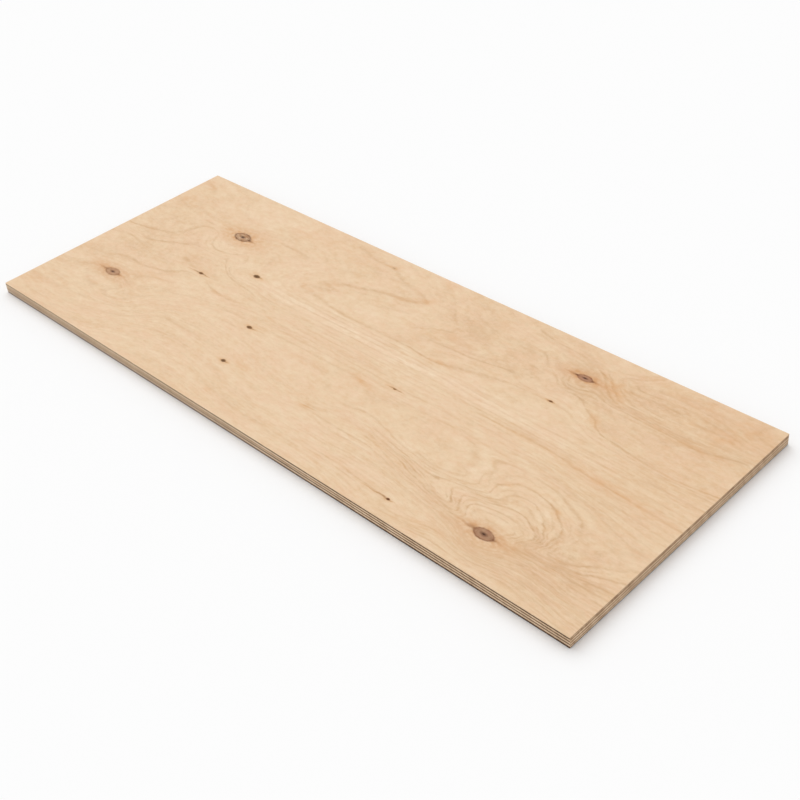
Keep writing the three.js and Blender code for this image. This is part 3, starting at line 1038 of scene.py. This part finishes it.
def faceMaterial(finish):
    material, tree, shader = woodMaterial("sanded birch face")
    place, (x, y, _) = sheetPlace(tree)
    names = ("ring", "pitch", "drawn", "half", "streak", "wild", "busy", "warm", "pale")
    ring, pitch, drawn, half, streak, wild, busy, warm, pale = (attribute(tree, name) for name in names)

    def streaks(name):
        return patches(x, y, finish["streaks"][name])

    def ranged(value, name):
        return spread(value, *finish["ranges"][name])

    # the rings wander by a fraction of a millimetre, and crinkle where the grain is wild
    wander = (streaks("wander") * finish["wander"] + streaks("crinkle") * finish["crinkle"]
              + streaks("wildCrinkle") * wild * finish["wildCrinkle"])
    ringHere = ring + wander / pitch

    # how far it is to the nearest ring, mm
    def ringDistance(number, apart):
        return abs(number - calc("ROUND", number)) * apart

    # tone that runs with the rings: one cloud read by ring number, stretched along the grain
    def ringPatches(name):
        often, long, wide, *noise = finish["ringPatches"][name]
        return cloud(vector(ringHere * often, x * (1 / long), y * (1 / wide)), *noise) - 0.5

    width = ranged(streaks("width"), "width")
    line = hump(ringDistance(ringHere, pitch), width)
    halfLine = hump(ringDistance(ringHere + 0.5, pitch), width)
    lineTone = ranged(streaks("line"), "line") * ranged(streaks("lineGaps"), "lineGaps")
    strong = (line * drawn + halfLine * half) * lineTone
    beside = hump(calc("FRACT", ringHere) * pitch, finish["shadeWidth"]) * drawn * lineTone
    faint = line * ranged(streaks("faint"), "faint")
    fineNumber = ringHere * finish["fineCount"] + streaks("fineWander") * finish["fineWander"]
    fineLine = hump(ringDistance(fineNumber, pitch * (1 / finish["fineCount"])), finish["fineWidth"])
    fineLine = fineLine * (busy + finish["fineLeast"]) * ranged(streaks("fine"), "fine")
    fibre = streaks("fibre")
    pores = ranged(streaks("pores"), "pores")
    mottle, fleck = ringPatches("mottle"), ringPatches("fleck")

    everywhere, crowded = finish["mottleShare"]
    tone = (finish["middle"] + ringPatches("band") * finish["band"]
            + ringPatches("fineBand") * finish["fineBand"] + fibre * finish["fibre"] + pale * finish["pale"]
            + (mottle * finish["mottle"] + fleck * finish["fleck"]) * (busy * crowded + everywhere)
            + halfLine * streak * lineTone * finish["paleStreak"])
    colour = toneRamp(tone, finish["tones"])
    rosy = ranged(ringPatches("rosy") + fleck * finish["rosyFleck"], "rosy")
    colour = blend(rosy, colour, paint(*finish["rosy"]))
    growth = (strong * finish["ringDark"] + beside * finish["ringShade"] + faint * finish["ringFaint"]
              + fineLine * finish["fineRings"] + pores * finish["pores"])
    colour = blend(calc("MINIMUM", growth, finish["mostCover"]), colour, paint(*finish["ringColour"]))
    stain = (warm * ranged(ringPatches("stain"), "stain") * finish["warm"]
             + ranged(ringPatches("warmFlecks"), "warmFlecks"))
    colour = blend(calc("MINIMUM", stain, finish["mostCover"]), colour, paint(*finish["warmColour"]))

    group = knotGroup(knotLook)
    for knot in [{**pinKnot, **knot} for knot in pinKnots] + knots:
        colour = addKnot(group, place, colour, knot)
    height = fibre + line * finish["ringBump"] + pores * finish["poreBump"]
    surface(shader, colour, ranged(fibre + mottle * finish["roughMottle"], "roughness"), height, finish)
    return material


print("sawn edges")

# marks are each: length and height in mm, amount, shift
edgeFinish = {
    "side grain": {
        "tones": ((0.0, (66, 42, 25)), (0.25, (162, 129, 96)), (0.5, (218, 188, 154)),
                  (0.75, (236, 210, 178)), (1.0, (248, 227, 200))),
        "streak": (14, 0.16, 0.40, 1.3), "speck": (0.9, 0.09, 0.18, 5.9), "patch": (5, 1.4, 0.40, 3.6),
        "drift": (22, 3, 0.30, 9.1), "saw": (3.4, 40, 0.65, 4.4),
        "glue": 0.20, "leftToRight": (0.16, 0.015), "rightEnd": 0.055,
    },
    "end grain": {
        "tones": ((0.0, (60, 38, 22)), (0.5, (142, 109, 80)), (1.0, (194, 161, 128))),
        "streak": (0.35, 1.4, 0.5, 1.3), "speck": (0.16, 0.12, 0.50, 5.9), "patch": (3.5, 1.4, 0.50, 3.6),
        "drift": (22, 3, 0.35, 9.1), "saw": (3.4, 40, 0.50, 4.4),
        "glue": 0.16, "leftToRight": (0.0, -0.10), "rightEnd": 0.17,
    },
    "middle": 0.5,
    "noise": (2, 0.6),          # detail and roughness of every mark
    "sawSlant": 0.35,
    "leftToRightAt": (-260, 240),    # mm along, where that change of tone starts and ends
    "rightEndAt": (389.3, 389.7),    # mm, where the front edge turns into the right end
    "contactShade": 0.60,               # painted contact shade: the edge is darker toward the underside, where the floor's shadow falls
    "contactShadeHeight": (0.6, 1.7),   # mm, full strength up to the first, gone above the second
    "floorBounceGrey": 0.05,               # painted floor bounce: the plies turn greyer toward the underside, standing in for light reflected from the white floor
    "floorBounceHeight": (1, 10),      # mm, between these
    "roughness": (-0.1, 0.1, 0.62, 0.78),    # the specks' tone from the first two to the last two
    "bumpDepth": 0.05,          # mm
}


# takes some of the colour out
def drained(colour, amount):
    node = colour.tree.nodes.new("ShaderNodeHueSaturation")
    put(colour, node.inputs["Color"])
    put(1.0 - amount, node.inputs["Saturation"])
    return Value(node.outputs["Color"])


# a sawn edge looks the same on all four sides: x + y runs along it and z across the plies
def edgeMaterial(name, grain, finish):
    cut = finish[grain]
    material, tree, shader = woodMaterial(name)
    _, (x, y, z) = sheetPlace(tree)
    along = x + y

    def marks(key, slant=0.0):
        long, thin, amount, shift = cut[key]
        return patches(along + z * slant, z, (long, thin, *finish["noise"], shift)) * amount

    streak, speck, patch, drift = (marks(key) for key in ("streak", "speck", "patch", "drift"))
    saw = marks("saw", finish["sawSlant"])
    # painted contact shade, darkest at the foot of the edge
    contactShade = spread(z, *finish["contactShadeHeight"], 1.0, 0.0)
    tone = (finish["middle"] + streak + speck + patch + drift + saw + attribute(tree, "tone")
            + attribute(tree, "glue") * -cut["glue"]
            + spread(along, *finish["leftToRightAt"], *cut["leftToRight"], smooth=True)
            + spread(x, *finish["rightEndAt"], 0.0, cut["rightEnd"]) + contactShade * -finish["contactShade"])
    colour = toneRamp(tone, cut["tones"])
    # painted floor bounce: colour taken out toward the underside
    colour = drained(colour, spread(z, *finish["floorBounceHeight"], finish["floorBounceGrey"], 0.0))
    surface(shader, colour, spread(speck, *finish["roughness"]), streak + speck + saw, finish)
    return material


backFinish = {
    "tones": ((0.0, (178, 138, 100)), (0.5, (224, 192, 156)), (1.0, (238, 212, 182))),
    "middle": 0.5,
    # patches of tone: length and width in mm, detail, roughness, shift
    "arch": (210, 70, 2, 0.5, 3.3),
    "rings": (160, 7, 3, 0.5, 1.9),
    "fibre": (16, 0.5, 2, 0.5, 6.6),
    "archBend": 110,       # mm, how far the arches push the rings
    "ringTone": 0.7,
    "fibreTone": 0.35,
    "roughness": (-0.2, 0.2, 0.52, 0.66),
    "bumpDepth": 0.02,     # mm
}


# the underside: plain birch with a quiet cathedral figure
def backMaterial(finish):
    material, tree, shader = woodMaterial("sanded birch back")
    _, (x, y, _) = sheetPlace(tree)
    bent = y + patches(x, y, finish["arch"]) * finish["archBend"]
    rings = patches(x, bent, finish["rings"])
    fibre = patches(x, y, finish["fibre"])
    tone = finish["middle"] + rings * finish["ringTone"] + fibre * finish["fibreTone"]
    roughness = spread(fibre, *finish["roughness"])
    surface(shader, toneRamp(tone, finish["tones"]), roughness, fibre + rings, finish)
    return material


corePlies = {
    "spacing": 2.5,        # mm between the mesh points along an edge
    "cornerRadius": 0.6,
    "cornerSteps": 3,
    "glueLine": 0.12,      # mm of each ply darkened by the glue
    "glueGroove": 0.04,
    "endGrainSunk": 0.05,  # end grain sands away a little deeper
    "sawRipple": 0.025,
    "rippleMost": 0.05,
    "rippleBlur": (0.25, 0.5, 0.25),
    "easing": 0.3,         # the underside's sanded arris
    # each veneer is a little lighter or darker than the next: left part of the front edge, all the rest
    "tones": {"cross_ply_2": (-0.34, -0.23), "long_ply_3": (0.18, 0.05), "cross_ply_4": (0.28, -0.02),
              "long_ply_5": (-0.13, 0.08), "cross_ply_6": (-0.34, -0.02), "long_ply_7": (0.17, 0.10),
              # the back veneer is darker partly by its own tone and partly as painted contact shade from the
              # floor
              "cross_ply_8": (0.22, 0.04), "back_veneer": (-0.20, -0.15)},
    "toneChange": (70, 170),    # mm, where the left part ends
    "frontFacing": 0.9,    # a wall that faces the front by more than this is the front edge
    "longFacing": 0.7,     # one that faces front or rear by more than this is cut like a long edge
    "downFacing": 0.5,     # and a face that looks down by more than this is the underside
    "backSeed": 99,        # the inner plies are seeded by their place among the nodes
}


# outline of the sawn panel as points and outward directions, counter-clockwise
def panelOutline(setup):
    radius = setup["cornerRadius"]
    halfX, halfY = panelHalf
    points, outward = [], []
    corners = ((1, -1, -90), (1, 1, 0), (-1, 1, 90), (-1, -1, 180))    # side in x and y, degrees at its start

    def onCorner(corner, turn):
        signX, signY, start = corner
        angle = math.radians(start + turn)
        way = np.array((math.cos(angle), math.sin(angle)))
        return np.array((signX * (halfX - radius), signY * (halfY - radius))) + way * radius, way

    for k, corner in enumerate(corners):
        for step in range(setup["cornerSteps"] + 1):
            point, way = onCorner(corner, 90 * step / setup["cornerSteps"])
            points.append(point)
            outward.append(way)
        start = points[-1]
        end, way = onCorner(corners[(k + 1) % 4], 0)
        count = int(np.hypot(*(end - start)) // setup["spacing"])
        for step in range(1, count):
            points.append(start + (end - start) * step / count)
            outward.append(way)
    return np.array(points), np.array(outward)


# the rows of points up a ply's wall: height, how far in, and how much glue shows
def plyRows(nodeName, setup):
    low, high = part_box(nodeName)
    bottom, top = low.z / mm, high.z / mm
    glue, groove = setup["glueLine"], setup["glueGroove"]
    lower = [(bottom, groove, 1.0), (bottom + glue, 0.0, 0.0), ((bottom + top) / 2, 0.0, 0.0)]
    if nodeName == "back_veneer":
        easing = setup["easing"]
        lower = [(bottom, easing, 0.0), (bottom + easing * rounding, easing * rounding, 0.0),
                 (bottom + easing, 0.0, 0.0)]
    return lower + [(top - glue, 0.0, 0.0), (top, groove, 1.0)]


# materials are the side grain, the end grain and, for the back, its underside
def makePly(nodeName, materials, slotName, setup, seed):
    rows = plyRows(nodeName, setup)
    outline, outward = panelOutline(setup)
    random = np.random.default_rng(seed)
    onFront = outward[:, 1] < -setup["frontFacing"]
    onLongEdge = np.abs(outward[:, 1]) > setup["longFacing"]
    cutAcross = onLongEdge if slotName == "cross_birch" else ~onLongEdge
    sunk = np.where(cutAcross, setup["endGrainSunk"], 0.0)
    points, faces, glueAt, loops = [], [], [], []
    for level, inset, glue in rows:
        ripple = random.normal(0, setup["sawRipple"], len(outline))
        ripple = ripple.clip(-setup["rippleMost"], setup["rippleMost"])
        ripple = np.abs(np.convolve(np.r_[ripple[-1], ripple, ripple[0]], setup["rippleBlur"], "valid"))
        loops.append(list(range(len(points), len(points) + len(outline))))
        points += [(*(spot - way * inward), level)
                   for spot, way, inward in zip(outline, outward, inset + sunk + ripple)]
        glueAt += [glue] * len(outline)
    for lower, upper in zip(loops[:-1], loops[1:]):
        faces += ladder(lower, upper)
    faces.append(tuple(loops[-1]))
    faces.append(tuple(reversed(loops[0])))
    mesh = newPiece(nodeName + "_sawn", points, faces, nodeName).data
    for material in materials:
        mesh.materials.append(material)
    wall = len(outline)
    for k, face in enumerate(mesh.polygons[:wall * (len(rows) - 1)]):
        face.material_index = 1 if cutAcross[k % wall] else 0
    if len(materials) > 2:
        for face in mesh.polygons:
            if face.normal.z < -setup["downFacing"]:
                face.material_index = 2
    left, right = setup["tones"][nodeName]
    leftPart = np.interp([point[0] for point in points], setup["toneChange"], (left, right))
    addValues(mesh, "glue", glueAt)
    addValues(mesh, "tone", np.where(np.tile(onFront, len(rows)), leftPart, right))


sideGrain = edgeMaterial("sawn side grain", "side grain", edgeFinish)
endGrain = edgeMaterial("sawn end grain", "end grain", edgeFinish)

face = makeFaceVeneer(faceVeneer, "face_veneer")
for material in (faceMaterial(faceFinish), sideGrain, endGrain):
    face.data.materials.append(material)
for polygon in face.data.polygons:
    way = polygon.normal
    if abs(way.z) < faceVeneer["edgeSlope"]:
        polygon.material_index = 1 if abs(way.y) > abs(way.x) else 2
    polygon.use_smooth = way.z > faceVeneer["flatSlope"]
print("face veneer has", len(face.data.polygons), "faces")

print("core plies and back")
for number, nodeName in enumerate(sorted(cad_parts)):
    if nodeName.startswith("cross_ply"):
        makePly(nodeName, (sideGrain, endGrain), "cross_birch", corePlies, number)
    elif nodeName.startswith("long_ply"):
        makePly(nodeName, (sideGrain, endGrain), "long_birch", corePlies, number)
backMaterials = (sideGrain, endGrain, backMaterial(backFinish))
makePly("back_veneer", backMaterials, "back_birch", corePlies, corePlies["backSeed"])

print("done")
